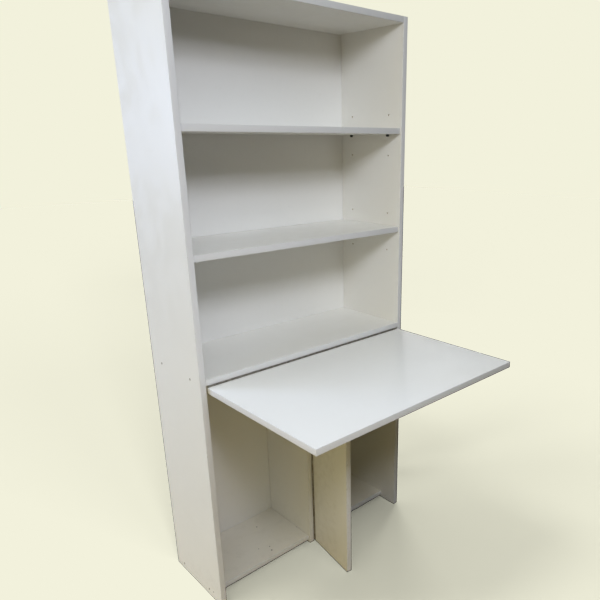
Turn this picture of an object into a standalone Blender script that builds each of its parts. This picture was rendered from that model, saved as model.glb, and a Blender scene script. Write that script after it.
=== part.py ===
"""Secretary desk: a board bookcase with a fold-out desk flap and a swing-out leg.

Metres, +Z up. The cabinet faces -Y and +X is to its right. The origin is on the
floor, under the middle of the desk with its flap level and its leg swung out.
"""

from math import radians

import bmesh
import bpy
from mathutils import Euler, Matrix, Vector

# ---------------------------------------------------------------- dimensions
COLLECTION = "secretary_desk"

GAP = 0.0003               # play between two pieces that touch
BOARD = 0.018              # melamine-faced chipboard
EDGE = 0.0005              # eased arris of an edge band

WIDTH = 0.820              # outside width of the cabinet
HEIGHT = 1.770             # height of the side panels
DEPTH = 0.292              # depth of the side panels
FRONT = 0.090              # Y of the cabinet's front plane
BACK_THICK = 0.0032        # hardboard back
BACK_INSET = 0.002         # back board kept inside the outer faces
BACK_BOTTOM = 0.010

INNER = WIDTH / 2 - BOARD  # half the clear width between the sides
REAR = FRONT + DEPTH

# adjustable shelves, resting on support pins
PIN_HOLE_R = 0.0025
PIN_HOLE_DEEP = 0.010
PIN_R = 0.0036
PIN_OUT = 0.0095
HOLE_STEP = 0.064          # two steps of the 32 mm hole system
PIN_Z = {"upper": 1.4232, "middle": 1.1032}
PIN_Y = {"front": FRONT + 0.0595, "rear": FRONT + 0.2365}
SHELF_RECESS = 0.005
SHELF_END_PLAY = 0.0008

# hinge section shared by the flap hinge and the leg hinge
HALF_GAP = 0.0013          # pin axis to either board the leaves are screwed to
PROUD = 0.0025             # pin axis to the face the knuckles stand out from
KNUCKLE_R = 0.0022
PIN_BORE_R = 0.00125
HINGE_PIN_R = 0.0010
LEAF_NEAR = 0.0016         # pin axis to the root of a leaf, inside the knuckle wall
LEAF_FAR = 0.0140
LEAF_LOW = 0.0002
LEAF_HIGH = 0.0010
NOTCH_TO = 0.0027
SCREW_LINE = 0.0085        # pin axis to the row of screws

# fixed shelf at desk level, flap and its hinge
FLAP_PIN_Z = 0.7595
FLAP_PIN_Y = FRONT - PROUD
DESK_SHELF_UNDER = FLAP_PIN_Z + HALF_GAP
DESK_SHELF_TOP = DESK_SHELF_UNDER + BOARD
FLAP_TOP = FLAP_PIN_Z - PROUD
FLAP_UNDER = FLAP_TOP - BOARD
FLAP_REAR = FLAP_PIN_Y - HALF_GAP
FLAP_FRONT = -0.3855
FLAP_END_PLAY = 0.0015
FLAP_HINGE_X0 = -0.388
FLAP_HINGE_LEN = 0.760
FLAP_KNUCKLES = 11
FLAP_SCREWS = (0.060, 0.273, 0.487, 0.700)

# base
BASE_UNDER = 0.012
BASE_LEFT_FRONT = FRONT + 0.0537
BASE_RIGHT_FRONT = FRONT + 0.0710
DIVIDER_FRONT = FRONT + 0.0476
DIVIDER_TOP = DESK_SHELF_UNDER - GAP

# swing-out leg
LEG_PIN_X = BOARD / 2 + HALF_GAP
LEG_PIN_Y = DIVIDER_FRONT - PROUD
LEG_LENGTH = 0.208
LEG_BOTTOM = 0.003
LEG_TOP = FLAP_UNDER - GAP
LEG_REST = radians(-8.0)   # past square to the front, as it stands in use
LEG_HINGE_Z0 = 0.010
LEG_HINGE_LEN = 0.722
LEG_KNUCKLES = 11
LEG_SCREWS = (0.070, 0.361, 0.652)

# connecting screws through the sides
CONF_HEAD_R = 0.0035
CONF_SHANK_R = 0.0024
CONF_LEN = 0.048
CONF_DEEP = 0.0002         # head below the outer face
CONF_PLAY = 0.0003
SIDE_SCREWS = {
    "top": ((FRONT + 0.057, FRONT + 0.231), HEIGHT - BOARD / 2),
    "desk": ((FRONT + 0.057, FRONT + 0.231), DESK_SHELF_UNDER + BOARD / 2),
    "base": ((FRONT + 0.0765, FRONT + 0.244), BASE_UNDER + BOARD / 2),
}

# wooden dowels that hold the divider
DOWEL_R = 0.0039
DOWEL_HOLE_R = 0.0042
DOWEL_TOP_Y = (FRONT + 0.100, FRONT + 0.240)
DOWEL_LEFT_Y = (FRONT + 0.100, FRONT + 0.250)
DOWEL_RIGHT_Y = (FRONT + 0.130, FRONT + 0.220)
DOWEL_SHORT = 0.0075       # length inside the divider, seen from its side
DOWEL_LONG = 0.022

ROUND = 12                 # sides of a turned piece

# ---------------------------------------------------------------- scene set-up
for old in list(bpy.data.objects):
    bpy.data.objects.remove(old, do_unlink=True)

parts = bpy.data.collections.new(COLLECTION)
cutters = bpy.data.collections.new("cutters")
cutters.hide_render = True
bpy.context.scene.collection.children.link(parts)
bpy.context.scene.collection.children.link(cutters)

LOOKS = {
    "melamine": ((0.80, 0.80, 0.80), 0.42, 0.0),
    "hardboard": ((0.74, 0.74, 0.75), 0.55, 0.0),
    "hinge_steel": ((0.16, 0.14, 0.11), 0.45, 0.9),
    "screw_zinc": ((0.55, 0.55, 0.53), 0.35, 1.0),
    "pin_black": ((0.03, 0.03, 0.03), 0.50, 0.0),
    "beech": ((0.62, 0.46, 0.30), 0.70, 0.0),
    "glide_plastic": ((0.70, 0.69, 0.66), 0.50, 0.0),
}


def material_for(name, look):
    """One Principled material for one piece."""
    colour, rough, metal = LOOKS[look]
    mat = bpy.data.materials.new(name)
    mat.use_nodes = True
    shader = mat.node_tree.nodes["Principled BSDF"]
    shader.inputs["Base Color"].default_value = (*colour, 1.0)
    shader.inputs["Roughness"].default_value = rough
    shader.inputs["Metallic"].default_value = metal
    return mat


def add_part(name, mesh, look, location=(0, 0, 0), rotation=(0, 0, 0), parent=None):
    """Links a mesh into the desk as one named piece."""
    obj = bpy.data.objects.new(name, mesh)
    obj.location = location
    obj.rotation_euler = rotation
    obj.parent = parent
    parts.objects.link(obj)
    slot_mat = material_for(name, look)
    if mesh.materials:
        obj.material_slots[0].link = "OBJECT"
        obj.material_slots[0].material = slot_mat
    else:
        mesh.materials.append(slot_mat)
    return obj


def add_cutter(name, mesh, location=(0, 0, 0), rotation=(0, 0, 0), parent=None):
    """Links a mesh as a cutting body that is never rendered."""
    obj = bpy.data.objects.new(name, mesh)
    obj.location = location
    obj.rotation_euler = rotation
    obj.parent = parent
    obj.hide_render = True
    obj.display_type = "WIRE"
    cutters.objects.link(obj)
    return obj


def boolean(obj, other, operation):
    mod = obj.modifiers.new(operation.lower() + "_" + other.name, "BOOLEAN")
    mod.operation = operation
    mod.solver = "EXACT"
    mod.object = other
    return mod


def box_into(bm, low, high):
    """Adds one box between two corners to a bmesh."""
    low = Vector(low)
    high = Vector(high)
    size = high - low
    matrix = Matrix.Translation((low + high) / 2) @ Matrix.Diagonal((*size, 1.0))
    bmesh.ops.create_cube(bm, size=1.0, matrix=matrix)


def cylinder_into(bm, start, direction, length, r_start, r_end, sides):
    """Adds one capped cylinder or cone that runs from a start point."""
    direction = Vector(direction).normalized()
    turn = direction.to_track_quat("Z", "Y").to_matrix().to_4x4()
    middle = Vector(start) + direction * length / 2
    bmesh.ops.create_cone(
        bm,
        cap_ends=True,
        segments=sides,
        radius1=r_start,
        radius2=r_end,
        depth=length,
        matrix=Matrix.Translation(middle) @ turn,
    )


def copy_into(bm, mesh, place):
    """Adds a placed copy of a mesh to a bmesh."""
    copy = mesh.copy()
    copy.transform(place)
    bm.from_mesh(copy)
    bpy.data.meshes.remove(copy)


def finish_mesh(bm, name):
    bmesh.ops.recalc_face_normals(bm, faces=bm.faces)
    mesh = bpy.data.meshes.new(name)
    bm.to_mesh(mesh)
    bm.free()
    return mesh


def board(name, low, high, look="melamine", parent=None, arris=EDGE, origin=None):
    """A flat board between two corners, with its arrises eased."""
    origin = Vector(origin) if origin else (Vector(low) + Vector(high)) / 2
    bm = bmesh.new()
    box_into(bm, Vector(low) - origin, Vector(high) - origin)
    obj = add_part(name, finish_mesh(bm, name), look, location=origin, parent=parent)
    ease = obj.modifiers.new("eased_edges", "BEVEL")
    ease.width = arris
    ease.segments = 1
    ease.limit_method = "ANGLE"
    return obj


def drill(obj, name, holes, parent=None):
    """Cuts separate round holes: (start, direction, depth, start radius, end radius)."""
    bm = bmesh.new()
    for start, direction, depth, r_start, r_end in holes:
        cylinder_into(bm, start, direction, depth, r_start, r_end, ROUND)
    cutter = add_cutter("cut_" + name, finish_mesh(bm, "cut_" + name), parent=parent)
    boolean(obj, cutter, "DIFFERENCE")


def turned_mesh(name, profile, sides=ROUND, socket=None):
    """Turns a profile of (radius, z), listed from its top down, into a closed mesh."""
    mesh = bpy.data.meshes.new(name + "_profile")
    mesh.from_pydata(
        [(r, 0.0, z) for r, z in profile],
        [(i, i + 1) for i in range(len(profile) - 1)],
        [],
    )
    obj = bpy.data.objects.new(name + "_profile", mesh)
    bpy.context.scene.collection.objects.link(obj)
    spin = obj.modifiers.new("turn", "SCREW")
    spin.axis = "Z"
    spin.steps = sides
    spin.render_steps = sides
    spin.use_merge_vertices = True
    spin.merge_threshold = 0.00001
    cutter = None
    if socket:
        radius, depth = socket
        bm = bmesh.new()
        top = profile[0][1] + 0.001
        cylinder_into(bm, (0, 0, top), (0, 0, -1), depth + 0.001, radius, radius, 6)
        cutter = add_cutter("cut_" + name, finish_mesh(bm, "cut_" + name))
        boolean(obj, cutter, "DIFFERENCE")
    graph = bpy.context.evaluated_depsgraph_get()
    result = bpy.data.meshes.new_from_object(obj.evaluated_get(graph))
    result.name = name
    result.shade_smooth()
    result.set_sharp_from_angle(angle=radians(35))
    bpy.data.objects.remove(obj, do_unlink=True)
    if cutter:
        bpy.data.objects.remove(cutter, do_unlink=True)
    return result


def facing(direction):
    """Euler angles that turn local +Z towards a direction."""
    return Vector(direction).normalized().to_track_quat("Z", "Y").to_euler()


# ---------------------------------------------------------------- carcass boards
side_left = board("side_panel_left", (-WIDTH / 2, FRONT, 0), (-INNER, REAR, HEIGHT))
side_right = board("side_panel_right", (INNER, FRONT, 0), (WIDTH / 2, REAR, HEIGHT))

between = INNER - GAP
top_board = board(
    "top_panel", (-between, FRONT, HEIGHT - BOARD), (between, REAR, HEIGHT)
)
desk_shelf = board(
    "desk_shelf",
    (-between, FRONT, DESK_SHELF_UNDER),
    (between, REAR - GAP, DESK_SHELF_TOP),
)
base_left = board(
    "bottom_panel_left",
    (-between, BASE_LEFT_FRONT, BASE_UNDER),
    (-BOARD / 2 - GAP, REAR - GAP, BASE_UNDER + BOARD),
)
base_right = board(
    "bottom_panel_right",
    (BOARD / 2 + GAP, BASE_RIGHT_FRONT, BASE_UNDER),
    (between, REAR - GAP, BASE_UNDER + BOARD),
)
divider = board(
    "divider_panel",
    (-BOARD / 2, DIVIDER_FRONT, 0),
    (BOARD / 2, REAR - GAP, DIVIDER_TOP),
)
back_board = board(
    "back_panel",
    (-WIDTH / 2 + BACK_INSET, REAR + GAP, BACK_BOTTOM),
    (WIDTH / 2 - BACK_INSET, REAR + GAP + BACK_THICK, HEIGHT - BACK_INSET),
    look="hardboard",
    arris=0.0002,
)
for level, pin_z in PIN_Z.items():
    under = pin_z + PIN_R + GAP
    board(
        "shelf_" + level,
        (-INNER + SHELF_END_PLAY, FRONT + SHELF_RECESS, under),
        (INNER - SHELF_END_PLAY, REAR - 0.002, under + BOARD),
    )

# ---------------------------------------------------------------- flap and leg
flap_edge = INNER - FLAP_END_PLAY
flap = board(
    "desk_flap",
    (-flap_edge, FLAP_FRONT, FLAP_UNDER),
    (flap_edge, FLAP_REAR, FLAP_TOP),
    origin=(0, FLAP_PIN_Y, FLAP_PIN_Z),
)

leg_axis = bpy.data.objects.new("leg_axis", None)
leg_axis.location = (LEG_PIN_X, LEG_PIN_Y, 0)
leg_axis.rotation_euler = (0, 0, LEG_REST)
parts.objects.link(leg_axis)
leg = board(
    "gate_leg",
    (PROUD, -HALF_GAP - LEG_LENGTH, LEG_BOTTOM),
    (PROUD + BOARD, -HALF_GAP, LEG_TOP),
    parent=leg_axis,
    origin=(0, 0, LEG_BOTTOM),
)

# ---------------------------------------------------------------- shelf pins
pin_mesh = turned_mesh(
    "shelf_pin",
    (
        (0.0, PIN_OUT),
        (PIN_R - 0.0006, PIN_OUT),
        (PIN_R, PIN_OUT - 0.0006),
        (PIN_R, GAP),
        (0.0022, GAP),
        (0.0022, -0.0090),
        (0.0, -0.0090),
    ),
)
for side, sign, panel in (("left", -1, side_left), ("right", 1, side_right)):
    holes = []
    for level, pin_z in PIN_Z.items():
        for place, pin_y in PIN_Y.items():
            for step in (-1, 0, 1):
                mouth = (sign * (INNER - 0.001), pin_y, pin_z + step * HOLE_STEP)
                depth = PIN_HOLE_DEEP + 0.001
                holes.append((mouth, (sign, 0, 0), depth, PIN_HOLE_R, PIN_HOLE_R))
            add_part(
                f"shelf_pin_{level}_{side}_{place}",
                pin_mesh,
                "pin_black",
                location=(sign * INNER, pin_y, pin_z),
                rotation=facing((-sign, 0, 0)),
            )
    drill(panel, f"pin_holes_{side}", holes)

# ---------------------------------------------------------------- connecting screws
connector_mesh = turned_mesh(
    "connecting_screw",
    (
        (0.0, 0.0),
        (CONF_HEAD_R, 0.0),
        (CONF_HEAD_R, -0.0022),
        (CONF_SHANK_R, -0.0036),
        (CONF_SHANK_R, -CONF_LEN + 0.003),
        (0.0010, -CONF_LEN),
        (0.0, -CONF_LEN),
    ),
    socket=(0.0022, 0.0024),
)
connector_room = turned_mesh(
    "connecting_screw_room",
    (
        (0.0, 0.0012),
        (CONF_HEAD_R + CONF_PLAY, 0.0012),
        (CONF_HEAD_R + CONF_PLAY, -0.0024),
        (CONF_SHANK_R + CONF_PLAY, -0.0038),
        (CONF_SHANK_R + CONF_PLAY, -CONF_LEN - 0.002),
        (0.0, -CONF_LEN - 0.002),
    ),
)
TARGETS = {
    ("left", "top"): top_board,
    ("right", "top"): top_board,
    ("left", "desk"): desk_shelf,
    ("right", "desk"): desk_shelf,
    ("left", "base"): base_left,
    ("right", "base"): base_right,
}
for side, sign, panel in (("left", -1, side_left), ("right", 1, side_right)):
    head_x = sign * (WIDTH / 2 - CONF_DEEP)
    turn = facing((sign, 0, 0))
    rooms = bmesh.new()
    for level, (row, screw_z) in SIDE_SCREWS.items():
        level_rooms = bmesh.new()
        for number, screw_y in enumerate(row, start=1):
            head = (head_x, screw_y, screw_z)
            add_part(
                f"connector_{level}_{side}_{number}",
                connector_mesh,
                "screw_zinc",
                location=head,
                rotation=turn,
            )
            place = Matrix.Translation(head) @ turn.to_matrix().to_4x4()
            for bm in (rooms, level_rooms):
                copy_into(bm, connector_room, place)
        cutter = add_cutter(
            f"cut_{level}_{side}", finish_mesh(level_rooms, f"cut_{level}_{side}")
        )
        boolean(TARGETS[side, level], cutter, "DIFFERENCE")
    cutter = add_cutter(f"cut_side_{side}", finish_mesh(rooms, f"cut_side_{side}"))
    boolean(panel, cutter, "DIFFERENCE")

# ---------------------------------------------------------------- divider dowels


def dowel_mesh(name, length):
    soft = 0.0008
    return turned_mesh(
        name,
        (
            (0.0, length / 2),
            (DOWEL_R - soft, length / 2),
            (DOWEL_R, length / 2 - soft),
            (DOWEL_R, -length / 2 + soft),
            (DOWEL_R - soft, -length / 2),
            (0.0, -length / 2),
        ),
        sides=12,
    )


upright_mesh = dowel_mesh("dowel_upright", 0.032)
level_mesh = dowel_mesh("dowel_level", DOWEL_SHORT + DOWEL_LONG)
over = []
into = []
for number, y in enumerate(DOWEL_TOP_Y, start=1):
    add_part(
        f"dowel_divider_top_{number}",
        upright_mesh,
        "beech",
        location=(0, y, DIVIDER_TOP - 0.005),
    )
    over.append(
        ((0, y, DESK_SHELF_UNDER - 0.001), (0, 0, 1), 0.0125, DOWEL_HOLE_R, DOWEL_HOLE_R)
    )
    into.append(
        ((0, y, DIVIDER_TOP + 0.001), (0, 0, -1), 0.0225, DOWEL_HOLE_R, DOWEL_HOLE_R)
    )
drill(desk_shelf, "dowels_over", over)
for side, sign, row, base in (
    ("left", -1, DOWEL_LEFT_Y, base_left),
    ("right", 1, DOWEL_RIGHT_Y, base_right),
):
    face = sign * BOARD / 2
    holes = []
    for number, y in enumerate(row, start=1):
        middle = face + sign * (DOWEL_LONG - DOWEL_SHORT) / 2
        add_part(
            f"dowel_base_{side}_{number}",
            level_mesh,
            "beech",
            location=(middle, y, BASE_UNDER + BOARD / 2),
            rotation=facing((1, 0, 0)),
        )
        z = BASE_UNDER + BOARD / 2
        into.append(
            ((face + sign * 0.001, y, z), (-sign, 0, 0), 0.009, DOWEL_HOLE_R, DOWEL_HOLE_R)
        )
        holes.append(((face, y, z), (sign, 0, 0), 0.0225, DOWEL_HOLE_R, DOWEL_HOLE_R))
    drill(base, f"dowels_{side}", holes)
drill(divider, "dowels_into", into)

# ---------------------------------------------------------------- hinges
hinge_screw_mesh = turned_mesh(
    "hinge_screw",
    (
        (0.0, 0.0),
        (0.0024, 0.0),
        (0.0013, -0.0012),
        (0.0013, -0.0095),
        (0.0004, -0.0118),
        (0.0, -0.0118),
    ),
    sides=10,
)


def hinge_leaf(name, length, knuckles, own, side, screws, location, rotation, parent=None):
    """One leaf. In its own frame the pin runs along +X from the origin, the leaf lies
    along +Y, and side says whether it is above (+1) or below (-1) the pin."""
    pitch = length / knuckles
    heights = sorted((side * LEAF_LOW, side * LEAF_HIGH))
    bm = bmesh.new()
    box_into(bm, (0, LEAF_NEAR, heights[0]), (length, LEAF_FAR, heights[1]))
    leaf = add_part(
        name, finish_mesh(bm, name), "hinge_steel", location, rotation, parent
    )
    eyes = bmesh.new()
    notches = bmesh.new()
    for index in range(knuckles):
        start = index * pitch
        if index % 2 == own:
            cylinder_into(
                eyes, (start + GAP, 0, 0), (1, 0, 0), pitch - 2 * GAP,
                KNUCKLE_R, KNUCKLE_R, ROUND,
            )
        else:
            low = start - (0.001 if index == 0 else 0.0)
            high = start + pitch + (0.001 if index == knuckles - 1 else 0.0)
            box_into(notches, (low, 0, -0.003), (high, NOTCH_TO, 0.003))
    countersinks = bmesh.new()
    for x in screws:
        cylinder_into(
            countersinks, (x, SCREW_LINE, side * 0.0001), (0, 0, side), 0.0010,
            0.00285, 0.00192, 12,
        )
    bore = bmesh.new()
    cylinder_into(
        bore, (-0.001, 0, 0), (1, 0, 0), length + 0.002, PIN_BORE_R, PIN_BORE_R, ROUND
    )
    for label, bm, operation in (
        ("notches", notches, "DIFFERENCE"),
        ("eyes", eyes, "UNION"),
        ("bore", bore, "DIFFERENCE"),
        ("countersinks", countersinks, "DIFFERENCE"),
    ):
        mesh = finish_mesh(bm, f"{name}_{label}")
        cutter = add_cutter(f"{name}_{label}", mesh, location, rotation, parent)
        boolean(leaf, cutter, operation)
    return leaf


def hinge_fixings(name, prefix, target, side, screws, location, rotation, parent=None):
    """The screws of one leaf, and their pilot holes in the board behind it."""
    place = Matrix.Translation(location) @ Euler(rotation).to_matrix().to_4x4()
    turn = place.to_3x3()
    pilots = []
    for number, x in enumerate(screws, start=1):
        head = place @ Vector((x, SCREW_LINE, side * 0.00025))
        mouth = place @ Vector((x, SCREW_LINE, side * LEAF_HIGH))
        inward = turn @ Vector((0, 0, side))
        add_part(
            f"{prefix}_{number}",
            hinge_screw_mesh,
            "screw_zinc",
            location=head,
            rotation=facing(-inward),
            parent=parent,
        )
        pilots.append((mouth, inward, 0.0125, 0.0017, 0.0017))
    drill(target, name, pilots, parent)


def hinge_pin(name, length, location, rotation):
    mesh = turned_mesh(
        name,
        (
            (0.0, length - 0.0002),
            (HINGE_PIN_R, length - 0.0002),
            (HINGE_PIN_R, 0.0002),
            (0.0, 0.0002),
        ),
    )
    return add_part(name, mesh, "hinge_steel", location, rotation)


flap_pin = (FLAP_HINGE_X0, FLAP_PIN_Y, FLAP_PIN_Z)
flap_open = (radians(-90), 0, 0)
hinge_leaf("flap_hinge_leaf_fixed", FLAP_HINGE_LEN, FLAP_KNUCKLES, 0, 1, FLAP_SCREWS,
           flap_pin, (0, 0, 0))
hinge_fixings("flap_pilots_fixed", "flap_hinge_screw_fixed", desk_shelf, 1, FLAP_SCREWS,
              flap_pin, (0, 0, 0))
hinge_leaf("flap_hinge_leaf_moving", FLAP_HINGE_LEN, FLAP_KNUCKLES, 1, -1, FLAP_SCREWS,
           flap_pin, flap_open)
hinge_fixings("flap_pilots_moving", "flap_hinge_screw_moving", flap, -1, FLAP_SCREWS,
              flap_pin, flap_open)
hinge_pin("flap_hinge_pin", FLAP_HINGE_LEN, flap_pin, facing((1, 0, 0)))

leg_pin = (LEG_PIN_X, LEG_PIN_Y, LEG_HINGE_Z0)
upright = (0, radians(-90), 0)
hinge_leaf("leg_hinge_leaf_fixed", LEG_HINGE_LEN, LEG_KNUCKLES, 0, 1, LEG_SCREWS,
           leg_pin, upright)
hinge_fixings("leg_pilots_fixed", "leg_hinge_screw_fixed", divider, 1, LEG_SCREWS,
              leg_pin, upright)
swung = (0, radians(-90), radians(-90))
hinge_leaf("leg_hinge_leaf_moving", LEG_HINGE_LEN, LEG_KNUCKLES, 1, -1, LEG_SCREWS,
           (0, 0, LEG_HINGE_Z0), swung, leg_axis)
hinge_fixings("leg_pilots_moving", "leg_hinge_screw_moving", leg, -1, LEG_SCREWS,
              (0, 0, LEG_HINGE_Z0), swung, leg_axis)
hinge_pin("leg_hinge_pin", LEG_HINGE_LEN, leg_pin, (0, 0, 0))

# ---------------------------------------------------------------- leg glide
glide_mesh = turned_mesh(
    "leg_glide",
    (
        (0.0, 0.0120),
        (0.0005, 0.0120),
        (0.0010, 0.0105),
        (0.0010, 0.0),
        (0.0070, 0.0),
        (0.0075, -0.0014),
        (0.0062, -0.0024),
        (0.0, -0.0024),
    ),
)
glide_at = (PROUD + BOARD / 2, -HALF_GAP - LEG_LENGTH + 0.020, LEG_BOTTOM - GAP)
add_part("leg_glide", glide_mesh, "glide_plastic", location=glide_at, parent=leg_axis)
drill(leg, "glide_nail",
      [((glide_at[0], glide_at[1], LEG_BOTTOM - 0.001), (0, 0, 1), 0.0135, 0.0013, 0.0013)],
      leg_axis)
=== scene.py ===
from math import cos, pi, radians, sin

import bmesh
import bpy
from mathutils import Matrix, Vector

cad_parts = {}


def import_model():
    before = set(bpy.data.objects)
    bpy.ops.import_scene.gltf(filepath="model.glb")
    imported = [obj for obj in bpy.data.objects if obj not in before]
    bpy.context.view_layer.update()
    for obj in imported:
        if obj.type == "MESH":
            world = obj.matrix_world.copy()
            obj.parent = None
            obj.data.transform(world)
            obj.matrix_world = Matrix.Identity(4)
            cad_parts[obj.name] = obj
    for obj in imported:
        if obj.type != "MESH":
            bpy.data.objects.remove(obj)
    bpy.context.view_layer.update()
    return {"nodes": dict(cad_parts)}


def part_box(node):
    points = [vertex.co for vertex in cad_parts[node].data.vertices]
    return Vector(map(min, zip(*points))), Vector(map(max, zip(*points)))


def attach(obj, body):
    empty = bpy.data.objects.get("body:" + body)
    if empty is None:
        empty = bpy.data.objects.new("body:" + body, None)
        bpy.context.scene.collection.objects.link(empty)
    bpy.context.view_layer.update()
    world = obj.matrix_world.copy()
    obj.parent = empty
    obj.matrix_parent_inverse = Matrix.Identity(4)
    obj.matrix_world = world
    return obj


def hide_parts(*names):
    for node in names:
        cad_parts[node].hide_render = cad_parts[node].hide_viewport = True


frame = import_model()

# Secretary desk: a white board bookcase with a fold-out flap on a swing-out leg.
# Every board is a chipboard core with melamine faces and glued-on edge bands.
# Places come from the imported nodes; metres, cabinet facing -Y, floor at z = 0.

# ---------------------------------------------------------------- sizes
X, Y, Z = 0, 1, 2
LEFT, RIGHT = (X, -1), (X, 1)          # a board's ends, as (axis, sign)
FRONT, REAR = (Y, -1), (Y, 1)
UPPER = (Z, 1)
SIDES = (("left", -1), ("right", 1))   # the side panels, with their sign of x
PIN_LEVELS = ("upper", "middle")
PIN_ROWS = ("front", "rear")
SCREW_LEVELS = ("top", "desk", "base")

BAND = 0.0010              # thickness of an edge band
BAND_ROUND = 0.0008        # its rounded outer arris
SEAM = 0.00004             # glue line between band and core
OVERLAP = 0.01             # how far a cutter reaches past a face that it leaves alone
NEAR_FACE = 0.0006         # a polygon this near to a board's face is part of that face

HOLE_SIDES = 32
TURN_STEPS = 32
HOLE_STEP = 0.064          # spacing of the shelf-pin holes
PIN_HOLE_R = 0.00256       # a little wider and deeper than the CAD's faceted holes
PIN_HOLE_DEEP = 0.0102
PIN_HOLE_RINGS = (         # (radius, depth) from outside the broken rim to the bottom
    (PIN_HOLE_R + 0.0005, -0.0002), (PIN_HOLE_R, 0.0003), (PIN_HOLE_R, PIN_HOLE_DEEP),
)
HEAD_HOLE_R = 0.00382      # round the head of a connecting screw
HEAD_HOLE_DEEP = 0.0024
HEAD_HOLE_START = 0.001    # outside the panel

KNUCKLE_R = 0.0022         # continuous hinges: sections are (y, z) from the pin's line
KNUCKLE_WALL = 0.0008
CURL_END = 352.0           # degrees round the pin
ARC_POINTS = 27
HINGE_PIN_R = 0.00115
LEAF_NEAR_PIN = 0.0027
LEAF_FAR = 0.0140
LEAF_LOW = 0.0002
LEAF_HIGH = 0.0010
SCREW_LINE = 0.0085
SCREW_HOLE_WIDE, SCREW_HOLE_NARROW, SCREW_HOLE_DEEP = 0.0029, 0.0017, 0.0014
SCREW_HOLE_START = -0.0001 # just below the sheet
SCREW_HOLE_SIDES = 24
SCREW_TURN, FIRST_TURN = 37.0, 11.0    # degrees: no two neighbours stop alike
FLAP_SCREWS = (0.060, 0.700, 10)       # first and last along the hinge, and their count
LEG_SCREWS = (0.070, 0.652, 9)
KNUCKLE_PITCH = 0.0304
KNUCKLE_PLAY = 0.0002
HINGE_END_PLAY = 0.0002    # the leaves reach this far past the pin, at each end

NAIL_INSET = 0.007         # of the back board's nails, from its side edges
NAIL_END = 0.020           # and from its upper and lower ends
NAILS_UP, NAIL_GAPS_ACROSS, NAIL_GAPS_DIVIDER = 13, 6, 5

LEG_REST = radians(-8.0)   # the gate leg stands this far past square
UPRIGHT = radians(-90.0)


def evenly(start, end, count):
    """Places from start to end, both counted."""
    return [start + (end - start) * i / (count - 1) for i in range(count)]


# ---------------------------------------------------------------- node helpers


def node(tree, kind, props=None, **inputs):
    """Adds a shader node. An input named iN is input number N; a socket is linked."""
    made = tree.nodes.new("ShaderNode" + kind)
    for key, value in (props or {}).items():
        setattr(made, key, value)
    for key, value in inputs.items():
        number = key[1:]
        known = key[0] == "i" and number.isdigit()
        socket = made.inputs[int(number)] if known else made.inputs[key.replace("_", " ")]
        if isinstance(value, bpy.types.NodeSocket):
            tree.links.new(value, socket)
        else:
            socket.default_value = value
    return made


def math(tree, operation, a, b=0.0, clamp=False):
    """Result of a math node on two numbers or sockets."""
    props = {"operation": operation, "use_clamp": clamp}
    return node(tree, "Math", props, i0=a, i1=b).outputs[0]


def spread(tree, value, from_low, from_high, to_low, to_high):
    """Smooth step from one range of a value to another."""
    made = node(
        tree, "MapRange", {"interpolation_type": "SMOOTHSTEP"},
        i0=value, i1=from_low, i2=from_high, i3=to_low, i4=to_high,
    )
    return made.outputs[0]


def mix(tree, factor, a, b):
    """Colour a where factor is 0 and b where it is 1."""
    made = node(tree, "Mix", {"data_type": "RGBA"}, i0=factor, i6=a, i7=b)
    return made.outputs[2]


def coat(tree, colour, mask, share, other):
    """A colour with a share of another over it, where the mask is 1."""
    return mix(tree, math(tree, "MULTIPLY", mask, share), colour, other)


def noise(tree, place, scale, detail=3.0, rough=0.5, distort=0.0):
    """Value of a noise texture, about 0.5 in the middle of its range."""
    made = node(
        tree, "TexNoise", None, Vector=place, Scale=scale, Detail=detail,
        Roughness=rough, Distortion=distort,
    )
    return made.outputs[0]


def stretched(tree, place, scale, turn=(0.0, 0.0, 0.0)):
    """Places turned and scaled along each axis, for marks with a direction."""
    made = node(tree, "Mapping", None, Vector=place, Scale=scale, Rotation=turn)
    return made.outputs[0]


def tint(colour, factor):
    """A colour made darker or lighter, as the four numbers that a node takes."""
    return tuple(min(1.0, c * factor) for c in colour) + (1.0,)


class Surface:
    """One Principled material, with places taken from the piece's own space."""

    def __init__(self, name, shift=(0.0, 0.0, 0.0), **fixed):
        self.material = bpy.data.materials.new(name)
        self.material.use_nodes = True
        self.tree = self.material.node_tree
        self.shader = self.tree.nodes["Principled BSDF"]
        for key, value in fixed.items():
            self.shader.inputs[key.replace("_", " ")].default_value = value
        coords = node(self.tree, "TexCoord").outputs["Object"]
        self.raw = coords
        self.place = node(self.tree, "Mapping", None, Vector=coords, Location=shift).outputs[0]

    def link(self, key, socket):
        self.tree.links.new(socket, self.shader.inputs[key])

    def bump(self, heights, distance, strength=1.0):
        """Adds up (height, share) pairs and drives the normal with the sum."""
        total = None
        for height, share in heights:
            part = math(self.tree, "MULTIPLY", height, share)
            total = part if total is None else math(self.tree, "ADD", total, part)
        made = node(
            self.tree, "Bump", None, Strength=strength, Distance=distance, Height=total
        )
        self.link("Normal", made.outputs[0])

    def axes(self):
        """The x, y and z of the place that is shaded."""
        return node(self.tree, "SeparateXYZ", None, Vector=self.raw).outputs


def edge_distance(surface, low, high, axes):
    """Distance in metres to the nearest edge of a box face, along the given axes."""
    tree = surface.tree
    xyz = surface.axes()
    nearest = None
    for axis in axes:
        for value in (
            math(tree, "SUBTRACT", xyz[axis], low[axis]),
            math(tree, "SUBTRACT", high[axis], xyz[axis]),
        ):
            nearest = value if nearest is None else math(tree, "MINIMUM", nearest, value)
    return nearest


# ---------------------------------------------------------------- materials
WHITE = (0.855, 0.842, 0.800)
BAND_WHITE = (0.745, 0.738, 0.738)
GRIME = (0.36, 0.33, 0.27)
# Film on the floor boards: dust and painted shade.
DUST_AND_SHADE = (0.66, 0.60, 0.44, 1.0)


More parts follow.
